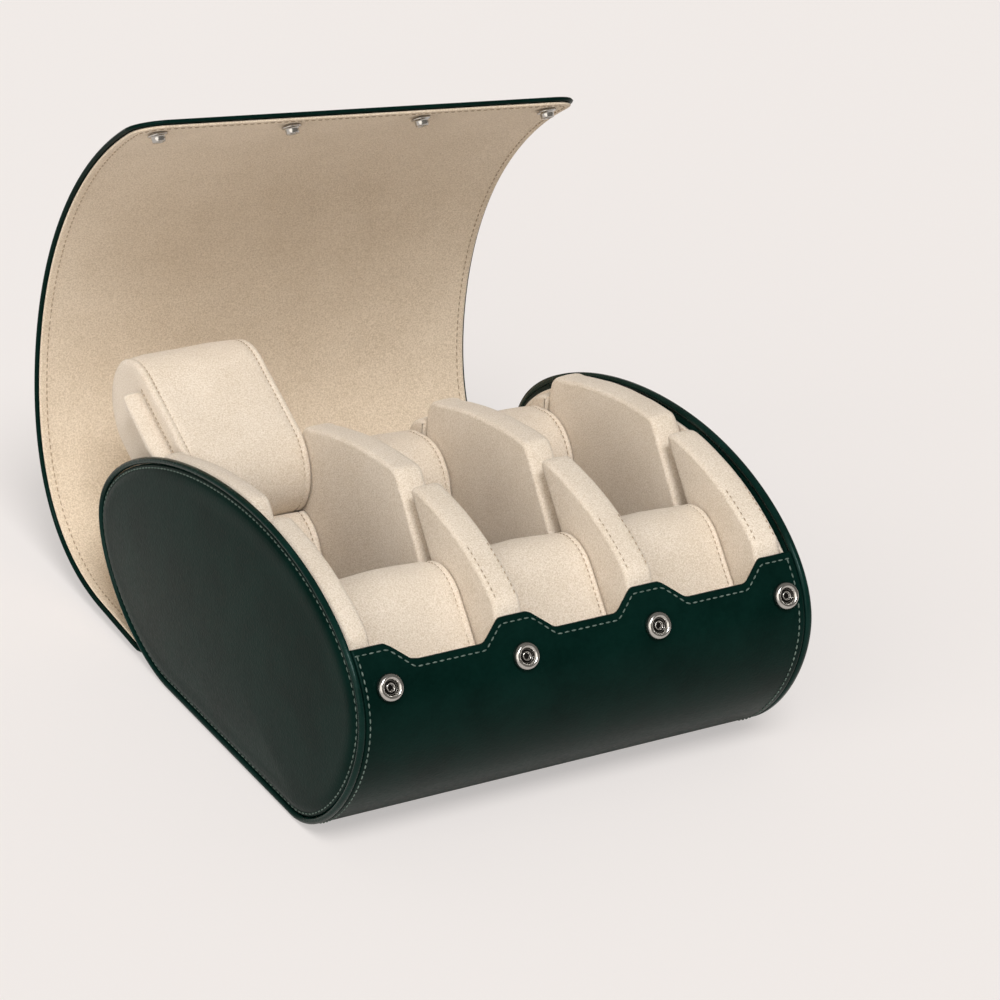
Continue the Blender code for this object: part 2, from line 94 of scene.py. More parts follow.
SLOT_X = [-0.0582, 0.0, 0.0582]
LEAN = math.radians(39.0)
REAR_FRONT_Y = -0.0150
REAR_BACK_Y = 0.0632
GROOVE = 0.0105


# Section lines

def bezier(p0, p1, p2, p3, steps):
    out = []
    for i in range(steps + 1):
        t = i / steps
        a, b, c, d = (1 - t) ** 3, 3 * (1 - t) ** 2 * t, 3 * (1 - t) * t * t, t ** 3
        out.append((a * p0[0] + b * p1[0] + c * p2[0] + d * p3[0],
                    a * p0[1] + b * p1[1] + c * p2[1] + d * p3[1]))
    return out


def quarter(start, end, share, flat_first, steps):
    """A quarter bend between a level and an upright end."""
    if flat_first:
        p1 = (start[0] + share * (end[0] - start[0]), start[1])
        p2 = (end[0], end[1] - share * (end[1] - start[1]))
    else:
        p1 = (start[0], start[1] + share * (end[1] - start[1]))
        p2 = (end[0] - share * (end[0] - start[0]), end[1])
    return bezier(start, p1, p2, end, steps)


def front_down(steps):
    return (quarter(APEX, FRONT_BULGE, FRONT_PULLS[0], True, steps)
            + quarter(FRONT_BULGE, FLAT_FRONT, FRONT_PULLS[1], False, steps)[1:])


def back_up(steps):
    return (quarter(FLAT_BACK, BACK_BULGE, BACK_PULLS[0], True, steps)
            + quarter(BACK_BULGE, APEX, BACK_PULLS[1], False, steps)[1:])


def inset(points, distance, closed):
    out = []
    count = len(points)
    for i, p in enumerate(points):
        a = points[(i - 1) % count] if closed or i else points[0]
        b = points[(i + 1) % count] if closed or i < count - 1 else points[-1]
        size = math.dist(a, b)
        out.append((p[0] - distance * (b[1] - a[1]) / size, p[1] + distance * (b[0] - a[0]) / size))
    return out


def lid_line(steps):
    """From the flat bottom to the lid's free edge."""
    foot = (LID_FOOT_Y, LID_SLOPE * (LID_FOOT_Y - FLAT_BACK[0]))
    run, rise = LID_BACK[0] - foot[0], LID_BACK[1] - foot[1]
    bend = bezier(foot, (foot[0] + LID_PULL * run, foot[1] + LID_SLOPE * LID_PULL * run),
                  (LID_BACK[0], LID_BACK[1] - LID_PULL * rise), LID_BACK, steps)
    turn = LID_LEAN - math.pi / 2
    handle = math.dist(LID_BACK, LID_TIP) / (2 * math.sin(turn / 2)) * 4 / 3 * math.tan(turn / 4)
    before_tip = (LID_TIP[0] - handle * math.cos(LID_LEAN), LID_TIP[1] - handle * math.sin(LID_LEAN))
    sweep = bezier(LID_BACK, (LID_BACK[0], LID_BACK[1] + handle), before_tip, LID_TIP, steps)
    flat = [(FLAT_BACK[0] + (foot[0] - FLAT_BACK[0]) * i / 8, foot[1] * i / 8) for i in range(8)]
    return flat + bend[:-1] + sweep


class Path:
    """A line in the section plane, read by length."""

    def __init__(self, points):
        self.points = points
        self.lengths = [0.0]
        for a, b in zip(points, points[1:]):
            self.lengths.append(self.lengths[-1] + math.dist(a, b))

    def at(self, length):
        """The point at a length, and the direction along the line there."""
        low, high = 0, len(self.points) - 2
        while low < high:
            mid = (low + high + 1) // 2
            if self.lengths[mid] <= length:
                low = mid
            else:
                high = mid - 1
        a, b = self.points[low], self.points[low + 1]
        t = (length - self.lengths[low]) / (self.lengths[low + 1] - self.lengths[low])
        c, d = self.points[max(low - 1, 0)], self.points[min(low + 2, len(self.points) - 1)]
        size = math.dist(c, d)
        point = (a[0] + t * (b[0] - a[0]), a[1] + t * (b[1] - a[1]))
        return point, ((d[0] - c[0]) / size, (d[1] - c[1]) / size)

    def where(self, test):
        return next((s for p, s in zip(self.points, self.lengths) if test(p)), self.lengths[-1])


STEPS = 160
BODY_LINE = front_down(STEPS)
WRAP_PATH = Path(BODY_LINE + lid_line(STEPS))
FLAT_BACK_S = WRAP_PATH.lengths[len(BODY_LINE)]
LIP_S = WRAP_PATH.where(lambda p: p[0] < APEX[0] and p[1] <= LIP_Z)
WIDEN_S = FLAT_BACK_S + WIDEN_Y - FLAT_BACK[0]
END_S = WRAP_PATH.lengths[-1]


def wrap_point(s, x, depth):
    """A point of the wrap at a depth under its outer face; the lid shrinks to the right."""
    (y, z), along = WRAP_PATH.at(s)
    if s > FLAT_BACK_S:
        share = 1 - (1 - RIGHT_SHARE) * (x / HALF + 1) / 2
        y = FLAT_BACK[0] + share * (y - FLAT_BACK[0])
        z = share * z
    return Vector((x, y - depth * along[1], z + depth * along[0]))


def wrap_normal(s):
    """Direction into the roll."""
    along = WRAP_PATH.at(s)[1]
    return Vector((0.0, -along[1], along[0]))


def sharp_drop(x):
    if abs(x) > PAD_X[-1]:
        return 0.0
    nearest = min(abs(x - p) for p in TAB_X)
    return TAB_HEIGHT * min(max((nearest - TAB_TOP / 2) / TAB_RUN, 0.0), 1.0)


def lip_drop(x):
    """The scallop under its tab tops, with slightly rounded corners."""
    return sum(sharp_drop(x + TAB_BLUR * k) for k in range(-3, 4)) / 7


def corner_drop(x, half, radius):
    over = abs(x) - (half - radius)
    return radius - math.sqrt(max(radius * radius - over * over, 0.0)) if over > 0 else 0.0


def smooth(t):
    t = min(max(t, 0.0), 1.0)
    return t * t * (3 - 2 * t)


# Mesh helpers

def keep(name, mesh, mat):
    bmesh.ops.recalc_face_normals(mesh, faces=mesh.faces[:])
    data = bpy.data.meshes.new(name)
    mesh.to_mesh(data)
    mesh.free()
    data.materials.append(mat)
    data.shade_smooth()
    obj = bpy.data.objects.new(name, data)
    bpy.context.collection.objects.link(obj)
    return obj


def loft(name, loops, mat, ends="fan"):
    """A skin over rings of points. Its ends are fanned to their middles, flat, or joined."""
    mesh = bmesh.new()
    rings = [[mesh.verts.new(p) for p in loop] for loop in loops]
    count = len(rings[0])
    pairs = list(zip(rings, rings[1:]))
    if ends == "joined":
        pairs.append((rings[-1], rings[0]))
    for a, b in pairs:
        for i in range(count):
            k = (i + 1) % count
            mesh.faces.new((a[i], a[k], b[k], b[i]))
    for ring in (rings[0], rings[-1]):
        if ends == "flat":
            mesh.faces.new(ring)
        elif ends == "fan":
            centre = mesh.verts.new(sum((v.co for v in ring), Vector()) / count)
            for i in range(count):
                mesh.faces.new((ring[i], ring[(i + 1) % count], centre))
    return keep(name, mesh, mat)


def wear_on(obj, node):
    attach(obj, BODY)
    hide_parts(node)
    return obj


# Materials

def group_tree(name, inputs, outputs):
    tree = bpy.data.node_groups.new(name, "ShaderNodeTree")
    for label, kind, value in inputs:
        socket = tree.interface.new_socket(label, in_out="INPUT", socket_type=kind)
        socket.default_value = value
    for label, kind in outputs:
        tree.interface.new_socket(label, in_out="OUTPUT", socket_type=kind)
    return tree, tree.nodes.new("NodeGroupInput"), tree.nodes.new("NodeGroupOutput")


def add(tree, kind, settings=None, **values):
    """A node with its settings and inputs. An input is given by its name, or as i0, i1 and so on."""
    node = tree.nodes.new(kind)
    for key, value in (settings or {}).items():
        setattr(node, key, value)
    for key, value in values.items():
        by_place = key[0] == "i" and key[1:].isdigit()
        socket = node.inputs[int(key[1:])] if by_place else node.inputs[key.replace("_", " ")]
        if isinstance(value, bpy.types.NodeSocket):
            tree.links.new(value, socket)
        else:
            socket.default_value = value
    return node


def maths(tree, operation, a, b=0.0, c=0.0):
    return add(tree, "ShaderNodeMath", {"operation": operation}, i0=a, i1=b, i2=c).outputs[0]


def mix_colour(tree, factor, a, b):
    node = add(tree, "ShaderNodeMix", {"data_type": "RGBA", "blend_type": "MIX"}, i0=factor, i6=a, i7=b)
    return node.outputs[2]


def mottle_group():
    """Two colours mixed by cloudy patches and fine speckle, with the speckle as a height."""
    tree, start, end = group_tree("mottle", [
        ("Dark", "NodeSocketColor", (0.5, 0.5, 0.5, 1)), ("Light", "NodeSocketColor", (0.8, 0.8, 0.8, 1)),
        ("Cloud Scale", "NodeSocketFloat", 60.0), ("Speckle Scale", "NodeSocketFloat", 1400.0),
        ("Speckle Share", "NodeSocketFloat", 0.5)],
        [("Colour", "NodeSocketColor"), ("Height", "NodeSocketFloat")])
    given = start.outputs
    place = tree.nodes.new("ShaderNodeTexCoord").outputs["Object"]
    cloud = add(tree, "ShaderNodeTexNoise", Vector=place, Scale=given["Cloud Scale"], Detail=4.0, Roughness=0.6)
    speck = add(tree, "ShaderNodeTexNoise", Vector=place, Scale=given["Speckle Scale"], Detail=3.0, Roughness=0.7)
    cloud_share = maths(tree, "SUBTRACT", 1.0, given["Speckle Share"])
    cloud_part = maths(tree, "MULTIPLY", cloud.outputs[0], cloud_share)
    factor = maths(tree, "MULTIPLY_ADD", speck.outputs[0], given["Speckle Share"], cloud_part)
    wide = add(tree, "ShaderNodeMapRange", i0=factor, i1=0.38, i2=0.62)
    tree.links.new(mix_colour(tree, wide.outputs[0], given["Dark"], given["Light"]), end.inputs[0])
    tree.links.new(speck.outputs[0], end.inputs[1])
    return tree


def grain_group():
    """Fine leather grain: small cells broken by noise, as a height."""
    tree, start, end = group_tree("leather_grain", [("Scale", "NodeSocketFloat", 900.0)],
                                  [("Height", "NodeSocketFloat")])
    scale = start.outputs[0]
    place = tree.nodes.new("ShaderNodeTexCoord").outputs["Object"]
    bend = add(tree, "ShaderNodeTexNoise", Vector=place, Scale=maths(tree, "MULTIPLY", scale, 0.35), Detail=2.0)
    shift = add(tree, "ShaderNodeVectorMath", {"operation": "MULTIPLY_ADD"},
                i0=bend.outputs["Color"], i1=(0.0012,) * 3, i2=place)
    cells = add(tree, "ShaderNodeTexVoronoi", {"feature": "SMOOTH_F1"},
                Vector=shift.outputs[0], Scale=scale, Smoothness=0.6)
    fine = add(tree, "ShaderNodeTexNoise", Vector=place, Scale=maths(tree, "MULTIPLY", scale, 3.0), Detail=2.0)
    height = maths(tree, "MULTIPLY_ADD", fine.outputs[0], 0.3, cells.outputs["Distance"])
    tree.links.new(height, end.inputs[0])
    return tree


MOTTLE = mottle_group()
GRAIN = grain_group()
GREEN_TINT = (0.55, 0.95, 0.92, 1)


def start_material(name, roughness, metallic=0.0):
    mat = bpy.data.materials.new(name)
    mat.use_nodes = True
    shader = mat.node_tree.nodes["Principled BSDF"]
    shader.inputs["Roughness"].default_value = roughness
    shader.inputs["Metallic"].default_value = metallic
    return mat, mat.node_tree, shader


def mottled(tree, shader, dark, light, cloud, speckle, share):
    """Colours a material with the mottle, and gives back its height."""
    tone = add(tree, "ShaderNodeGroup", {"node_tree": MOTTLE}, Dark=dark, Light=light, Cloud_Scale=cloud,
               Speckle_Scale=speckle, Speckle_Share=share)
    tree.links.new(tone.outputs["Colour"], shader.inputs["Base Color"])
    return tone.outputs["Height"]


def vary_roughness(tree, shader, height, low, high):
    rough = add(tree, "ShaderNodeMapRange", i0=height, i1=0.3, i2=0.7, i3=low, i4=high)
    tree.links.new(rough.outputs[0], shader.inputs["Roughness"])


def raise_surface(tree, shader, height, strength, distance):
    bump = add(tree, "ShaderNodeBump", Strength=strength, Distance=distance, Height=height)
    tree.links.new(bump.outputs[0], shader.inputs["Normal"])


def leather_finish(name, dark, light, roughness, coat, gloss):
    mat, tree, shader = start_material(name, roughness)
    height = mottled(tree, shader, dark, light, 45.0, 500.0, 0.25)
    grain = add(tree, "ShaderNodeGroup", {"node_tree": GRAIN}, Scale=1100.0)
    raise_surface(tree, shader, grain.outputs[0], 0.10, 0.0004)
    vary_roughness(tree, shader, height, roughness - 0.05, roughness + 0.06)
    shader.inputs["Coat Weight"].default_value = coat
    shader.inputs["Coat Roughness"].default_value = 0.28
    shader.inputs["Specular IOR Level"].default_value = gloss
    shader.inputs["Specular Tint"].default_value = GREEN_TINT
    return mat


def suede_finish(name, dark, light, speckle):
    mat, tree, shader = start_material(name, 0.95)
    height = mottled(tree, shader, dark, light, 40.0, speckle, 0.84)
    raise_surface(tree, shader, height, 0.75, 0.0006)
    shader.inputs["Sheen Weight"].default_value = 0.25
    shader.inputs["Sheen Roughness"].default_value = 0.5
    shader.inputs["Specular IOR Level"].default_value = 0.1
    return mat


def thread_finish(name, dark, light):
    mat, tree, shader = start_material(name, 0.7)
    mottled(tree, shader, dark, light, 300.0, 2500.0, 0.6)
    return mat


def metal_finish(name, colour, roughness):
    mat, tree, shader = start_material(name, roughness, 1.0)
    dark = tuple(c * 0.82 for c in colour[:3]) + (1,)
    height = mottled(tree, shader, dark, colour, 500.0, 3000.0, 0.4)
    vary_roughness(tree, shader, height, roughness - 0.05, roughness + 0.08)
    return mat


GREEN = leather_finish("green_leather", (0.0008, 0.0085, 0.0064, 1), (0.0016, 0.0135, 0.0104, 1),
                       roughness=0.33, coat=0.0, gloss=0.055)
# Lighter copy of the wrap's green leather: painted highlight on the welts. Their higher coat and gloss are the welt's
# own shine
GREEN_WELT_PAINTED_HIGHLIGHT = leather_finish("green_welt_painted_highlight", (0.0012, 0.0120, 0.0092, 1), (0.0024, 0.0200, 0.0160, 1),
                            roughness=0.24, coat=0.08, gloss=0.09)
SUEDE = suede_finish("beige_suede", (0.66, 0.560, 0.440, 1), (0.90, 0.815, 0.715, 1), 1700.0)
# Darker, warmer copy of the cushions' suede: painted shade on the lining inside the body and the lid
LINING_SUEDE_PAINTED_SHADE = suede_finish("lining_suede_painted_shade", (0.61, 0.500, 0.370, 1), (0.86, 0.745, 0.605, 1), 1500.0)
GREEN_THREAD = thread_finish("green_thread", (0.04, 0.075, 0.062, 1), (0.15, 0.205, 0.18, 1))
BEIGE_THREAD = thread_finish("beige_thread", (0.32, 0.24, 0.16, 1), (0.48, 0.38, 0.27, 1))
NICKEL = metal_finish("nickel", (0.54, 0.53, 0.51, 1), 0.17)
# Near-black metal on the floors inside the sockets and studs: painted shade in their recesses
RECESS_PAINTED_SHADE = metal_finish("snap_recess_painted_shade", (0.020, 0.019, 0.018, 1), 0.40)


# Wrap and lining

def wrap_columns():
    """Places across the wrap, as shares of its half width, close together at the scallops and rims."""
    places = {i / 30 for i in range(-30, 31)}
    for p in TAB_X:
        for side in (-1, 1):
            for base in (TAB_TOP / 2, TAB_TOP / 2 + TAB_RUN):
                for step in (-0.0014, -0.0005, 0.0005, 0.0014):
                    places.add((p + side * (base + step)) / BODY_HALF)
    for k in range(1, 10):
        angle = k / 10 * math.pi / 2
        share = 1 - LID_CORNER / HALF * (1 - math.sin(angle))
        places |= {share, -share}
    kept = []
    for x in sorted(round(p, 5) for p in places if abs(p) <= 1):
        if not kept or x - kept[-1] > 0.004:
            kept.append(x)
    kept[-1] = 1.0
    return kept


def sheet_piece(name, top, under, edge, mat):
    """A sheet between two depths of the wrap, with rounded rims and faces close enough for smooth bends."""
    columns = wrap_columns()
    first, last = LIP_S + TAB_HEIGHT + 0.004, END_S - LID_CORNER - 0.004

    def place(row, share, depth, rim):
        part, spot = row
        wide = (BODY_HALF if share > 0 else BODY_LEFT) - edge - rim
        full = HALF - edge - rim
        if part == "lip":
            x = share * wide
            low = LIP_S + lip_drop(x) + edge + rim
            s = low + (first - low) * spot
        elif part == "middle":
            s = spot
            x = share * (wide + (full - wide) * smooth((s - WIDEN_S) / WIDEN_RUN))
        else:
            x = share * full
            high = END_S - edge - rim - corner_drop(x, full, LID_CORNER - edge - rim)
            s = last + (high - last) * spot
        return wrap_point(s, x, depth)

    rows = [("lip", t) for t in (0.0, 0.04, 0.12, 0.25, 0.45, 0.7)]
    rows += [("middle", first + (last - first) * i / 210) for i in range(211)]
    rows += [("end", t) for t in (0.15, 0.35, 0.55, 0.72, 0.85, 0.93, 0.98, 1.0)]
    rim = min(0.0006, (under - top) * 0.45)
    mesh = bmesh.new()
    upper = [[mesh.verts.new(place(r, c, top, rim)) for c in columns] for r in rows]
    lower = [[mesh.verts.new(place(r, c, under, rim)) for c in columns] for r in rows]
    n, m = len(rows), len(columns)
    for i in range(n - 1):
        for j in range(m - 1):
            mesh.faces.new((upper[i][j], upper[i][j + 1], upper[i + 1][j + 1], upper[i + 1][j]))
            mesh.faces.new((lower[i][j], lower[i + 1][j], lower[i + 1][j + 1], lower[i][j + 1]))
    border = [(0, j) for j in range(m)] + [(i, m - 1) for i in range(1, n)]
    border += [(n - 1, j) for j in range(m - 2, -1, -1)] + [(i, 0) for i in range(n - 2, 0, -1)]
    girth = [mesh.verts.new(place(rows[i], columns[j], (top + under) / 2, 0.0)) for i, j in border]
    for k, (i, j) in enumerate(border):
        a, b = border[(k + 1) % len(border)]
        after = girth[(k + 1) % len(border)]
        mesh.faces.new((upper[i][j], girth[k], after, upper[a][b]))
        mesh.faces.new((girth[k], lower[i][j], lower[a][b], after))
    return keep(name, mesh, mat)


leather = wear_on(sheet_piece("leather_sheet", 0.0, LEATHER, 0.0, GREEN), "leather_wrap")
# The lining's darker suede is painted shade
lining = wear_on(sheet_piece("lining_sheet", LEATHER + GAP, WRAP, LINING_EDGE, LINING_SUEDE_PAINTED_SHADE), "suede_lining")


# End caps. Each is a cushioned face from its sunk seam inwards, a round welt, and a lining inside.

CAP_FLAT = {-1: 0.0990, 1: 0.0975}
CAP_SEAM = 0.0042
CAP_EDGE = ((0.0027, -0.0001), (0.0030, 0.0005), (0.0034, 0.0009), (0.0038, 0.0010), (CAP_SEAM, 0.0009),
            (0.0046, 0.0011), (0.0052, 0.0016), (0.0062, 0.0021), (0.0080, 0.0025))
CAP_DOME = 0.0030
DOME_FOOT = (0.0105, 0.0026)
DOME_RINGS = 13
CAP_MIDDLE_Z = 0.055
CAP_ELLIPSE = (0.098, 0.044)
CAP_LINING = ((0.0050, 0.0003), (0.0050, 0.0014), (0.0055, 0.0016), (0.012, 0.0017), (0.030, 0.0017))
WELT_RADIUS = 0.0013
WELT_RISE = 0.0016


def closed_oval(distance, steps=70):
    run = FLAT_BACK[0] - FLAT_FRONT[0]
    line = front_down(steps) + [(FLAT_FRONT[0] + run * i / 40, 0.0) for i in range(1, 40)]
    return inset(line + back_up(steps)[:-1], distance, True)


def oval_ring(side, distance, x):
    return [Vector((side * x, y, z)) for y, z in closed_oval(distance)]


def shrunk_ring(side, share, x):
    """A ring of the cap's cushioned face, which turns from the cap's outline into an ellipse inwards."""
    out = []
    for p in oval_ring(1, DOME_FOOT[0], 0.0):
        y, z = p.y, p.z - CAP_MIDDLE_Z
        reach = math.hypot(y / CAP_ELLIPSE[0], z / CAP_ELLIPSE[1])
        blend = 1 - share
        y, z = share * (y + blend * (y / reach - y)), share * (z + blend * (z / reach - z))
        out.append(Vector((side * x, y, CAP_MIDDLE_Z + z)))
    return out


for side, label in ((-1, "left"), (1, "right")):
    root = BODY_LEFT if side < 0 else BODY_HALF
    flat = CAP_FLAT[side]
    rings = [oval_ring(side, 0.0028, root + 0.0002)]
    rings += [oval_ring(side, d, flat + rise) for d, rise in CAP_EDGE]
    for k in range(DOME_RINGS):
        share = 1.0 - k / DOME_RINGS
        rings.append(shrunk_ring(side, share, flat + DOME_FOOT[1] + CAP_DOME * (1 - share ** 2.2)))
    wear_on(loft(f"cap_face_{label}", rings, GREEN), f"end_panel_{label}")

    rings = [oval_ring(side, 0.0, root + 0.0003)]
    for k in range(11):
        angle = math.pi * k / 10
        reach = flat + 0.0002 + WELT_RISE * math.sin(angle)
        rings.append(oval_ring(side, WELT_RADIUS - WELT_RADIUS * math.cos(angle), reach))
    rings.append(oval_ring(side, 2 * WELT_RADIUS, root + 0.0003))
    # The welt's lighter green is a painted highlight: it is lighter than the cap it rings
    wear_on(loft(f"cap_welt_{label}", rings, GREEN_WELT_PAINTED_HIGHLIGHT, ends="joined"), f"end_welt_{label}")

    rings = [oval_ring(side, d, root - depth) for d, depth in CAP_LINING]
    wear_on(loft(f"cap_lining_{label}", rings, SUEDE), f"end_lining_{label}")


# Divider lobes

LOBE_HALF = 0.0060
LEFT_REAR = (-0.0936, 0.0042)
LEFT_FRONT = (-0.0927, 0.0048, 0.0012)
LOBE_CORNER = ((0.0018, 0.0), (0.0012, 0.0001), (0.0006, 0.0005), (0.0002, 0.0011), (0.0, 0.0020),
               (-0.0001, 0.0036))
BACK_CORNER = 0.008
SHOULDER = 0.0134


def dense(points, step):
    out = []
    count = len(points)
    for i in range(count):
        a, b = points[i], points[(i + 1) % count]
        parts = max(1, round(math.dist(a, b) / step))
        out += [(a[0] + (b[0] - a[0]) * k / parts, a[1] + (b[1] - a[1]) * k / parts) for k in range(parts)]
    return out


def soften(points, passes):
    for _ in range(passes):
        count = len(points)
        points = [((points[i - 1][0] + 2 * p[0] + points[(i + 1) % count][0]) / 4,
                   (points[i - 1][1] + 2 * p[1] + points[(i + 1) % count][1]) / 4) for i, p in enumerate(points)]
    return points


def arc(centre, radius, start, end, steps):
    out = []
    for i in range(steps + 1):
        angle = math.radians(start + (end - start) * i / steps)
        out.append((centre[0] + radius * math.cos(angle), centre[1] + radius * math.sin(angle)))
    return out


def lean_y(top_y, z):
    """The leaning cut between the rear and the front lobes."""
    return top_y - (HEIGHT - z) * math.tan(LEAN)


def wall_line():
    """Just inside the lining, from the lip down the front and along the bottom."""
    line = [wrap_point(LIP_S + 0.001 + 0.0015 * i, 0.0, WRAP + GAP + 0.0002) for i in range(140)]
    return [(p.y, p.z) for p in line if p.y < FLAT_FRONT[0] or p.z > WRAP + 0.0006]


def rear_outline():
    shoulder_y = REAR_BACK_Y - BACK_CORNER
    crown = [p for p in back_up(60) if REAR_FRONT_Y + 0.002 < p[0] < shoulder_y and p[1] > 0.05]
    round_back = arc((shoulder_y, crown[0][1] - BACK_CORNER), BACK_CORNER, 0.0, 72.0, 8)
    wall = [p for p in wall_line() if p[0] > lean_y(REAR_FRONT_Y, p[1]) + 0.002]
    top = [(REAR_FRONT_Y + 0.0012, HEIGHT - 0.0004), (REAR_FRONT_Y - 0.0014, HEIGHT - 0.0026)]
    return wall + [(FLAT_BACK[0], 0.0036), (REAR_BACK_Y, 0.0049)] + round_back + crown + top


def front_outline():
    top_y = REAR_FRONT_Y - GROOVE
    wall = [p for p in wall_line() if p[0] < lean_y(top_y, p[1]) - 0.001 and p[1] < LIP_Z + 0.0004]
    crown = [p for p in inset(front_down(60), GAP, False) if p[1] > LIP_Z + 0.0032 and p[0] < top_y - 0.0035]
    return [(top_y - 0.0008, HEIGHT - 0.0030), (top_y - 0.0026, HEIGHT - 0.0008)] + crown + wall


def back_outline():
    front = REAR_BACK_Y + 0.0012
    back = front + 0.0138
    shoulder = arc((back - SHOULDER, 0.0741), SHOULDER, 0.0, 90.0, 12)
    return [(front, 0.0062), (back, 0.0066)] + shoulder + [(front, 0.0875)]


def pad_piece(name, outline, x, node, seed, half, drop=0.0):
    """Padded board in suede: a flat edge band between two soft corners, and slightly full cheeks."""
    line = soften(dense(outline, 0.0011), 3)
    turn = [(d, half - back) for d, back in LOBE_CORNER]
    profile = turn + [(-0.0002, 0.0)] + [(d, -o) for d, o in reversed(turn)]
    rings = []
    for d, o in profile:
        ring = []
        for y, z in inset(line, d, True):
            wave = noise.noise(Vector((y * 90 + seed, z * 90, o * 120))) * 0.00015
            ring.append(Vector((x + o, y + wave, z + wave - drop * smooth((z - 0.06) / 0.03))))
        rings.append(ring)
    wear_on(loft(name, rings, SUEDE, ends="flat"), node)


for i, x in enumerate(PAD_X, 1):
    rear_x, rear_half = LEFT_REAR if i == 1 else (x, LOBE_HALF)
    front_x, front_half, drop = LEFT_FRONT if i == 1 else (x, LOBE_HALF, 0.0)
    pad_piece(f"rear_lobe_{i}", rear_outline(), rear_x, f"rear_divider_{i}", 3.0 * i, rear_half)
    pad_piece(f"front_lobe_{i}", front_outline(), front_x, f"front_divider_{i}", 5.0 * i, front_half, drop)
    pad_piece(f"back_lobe_{i}", back_outline(), rear_x, f"back_pad_{i}", 7.0 * i, rear_half)


# Watch cushions. A size is (long, thick, corner radius); a seat is its middle (y, z) and its turn.

CUSHION_HALF = 0.0226
CUSHION = (0.079, 0.0455, 0.0190)
RAISED = (0.080, 0.0430, 0.0212)
FRONT_SEAT = ((-0.0678, 0.0566), math.radians(-132.0))
REAR_SEAT = ((0.0570, 0.0441), math.radians(80.0))
LOW_SEAT = ((0.0755, 0.0354), math.radians(-17.0))
RAISED_SEAT = ((0.0889, 0.0869), math.radians(26.2))
FREE_LEFT = {"front": -0.0870, "rear": -0.0888}
PRESS_GAP = 0.0012
SEAM_AT = 0.885
SEAM_SHARE = 0.79
RIB = (0.0385, 0.0046, 0.0018)
RIB_PLACE = (-0.0003, 0.0117)


def rounded_box(long, thick, radius, steps):
    points = []
    for turn, (sy, sz) in enumerate(((1, 1), (-1, 1), (-1, -1), (1, -1))):
        centre = (sy * (long / 2 - radius), sz * (thick / 2 - radius))
        points += arc(centre, radius, 90.0 * turn, 90.0 * turn + 90.0, steps)
    return points


def cushion_frame(x, place, turn):
    return Matrix.Translation((x, place[0], place[1])) @ Matrix.Rotation(turn, 4, "X")


def pressed(spot):
    """Moves a point of the low cushion out of the raised one that lies on it."""
    cosine, sine = math.cos(RAISED_SEAT[1]), math.sin(RAISED_SEAT[1])
    run_y, run_z = spot.y - RAISED_SEAT[0][0], spot.z - RAISED_SEAT[0][1]
    a, b = cosine * run_y + sine * run_z, cosine * run_z - sine * run_y
    over_a = max(abs(a) - RAISED[0] / 2 + RAISED[2], 0.0)
    over_b = max(abs(b) - RAISED[1] / 2 + RAISED[2], 0.0)
    away, need = math.hypot(over_a, over_b), RAISED[2] + PRESS_GAP
    if away >= need or away == 0.0:
        return spot
    push_a = math.copysign(over_a, a) / away * (need - away)
    push_b = math.copysign(over_b, b) / away * (need - away)
    return Vector((spot.x, spot.y + cosine * push_a - sine * push_b, spot.z + sine * push_a + cosine * push_b))


def cushion_piece(name, node, ends, place, turn, seed, size=CUSHION):
    """Sleeve stretched over foam: crowned between its ends, pulled in at the seams near them, with soft dents."""
    long, thick, radius = size
    middle, half = (ends[0] + ends[1]) / 2, (ends[1] - ends[0]) / 2
    matrix = cushion_frame(middle, place, turn)
    end = [(-1.0, 0.0120), (-1.0, 0.0050), (-1.0, 0.0020), (-0.992, 0.0009), (-0.975, 0.0003), (-0.95, 0.0),
           (-0.91, 0.00005), (-0.895, 0.0003), (-SEAM_AT, 0.00045), (-0.875, 0.0003), (-0.85, 0.00005),
           (-SEAM_SHARE, -0.0002)]
    crown = [(-SEAM_SHARE + 1.58 * k / 24, -0.0006 * math.cos(math.pi * (k / 24 - 0.5)) - 0.0002)
             for k in range(1, 24)]
    stations = end + crown + [(-u, d) for u, d in reversed(end)]
    count = len(dense(rounded_box(long, thick, radius, 12), 0.004))
    rings = []
    for u, shrink in stations:
        corner = max(radius - shrink, 0.003)
        line = dense(rounded_box(long - 2 * shrink, thick - 2 * shrink, corner, 12), 0.004)
        path = Path(line + line[:1])
        ring = []
        for k in range(count):
            (a, b), _ = path.at(path.lengths[-1] * k / count)
            spot = Vector((u * half, a, b))
            broad = noise.noise(Vector((spot.x * 55 + seed, a * 45, b * 45))) * 0.0006
            lump = broad + noise.noise(spot * 150 + Vector((seed, 0, 0))) * 0.00018
            out = Vector((0.0, a, b)).normalized()
            spot = matrix @ (spot + out * lump * (1.0 if abs(u) < 0.98 else 0.25))
            ring.append(pressed(spot) if node == "rear_cushion_1" else spot)
        rings.append(ring)
    obj = wear_on(loft(name, rings, SUEDE), node)
    return obj, matrix, half, size


def rib_piece(matrix, half):
    """The ridge that stands out from the raised cushion's left end."""
    profile = [(-0.0001, 0.0), (-0.0030, -0.0001), (-0.0060, 0.0), (-0.0070, 0.0003), (-0.0076, 0.0008),
               (-0.0078, 0.0016)]
    loops = []
    for o, shrink in profile:
        line = rounded_box(RIB[0] - 2 * shrink, RIB[1] - 2 * shrink, max(RIB[2] - shrink, 0.0002), 8)
        loops.append([matrix @ Vector((-half + o, p[0] + RIB_PLACE[0], p[1] + RIB_PLACE[1])) for p in line])
    block = loft("raised_pillow_rib", loops, SUEDE)
    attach(block, BODY)


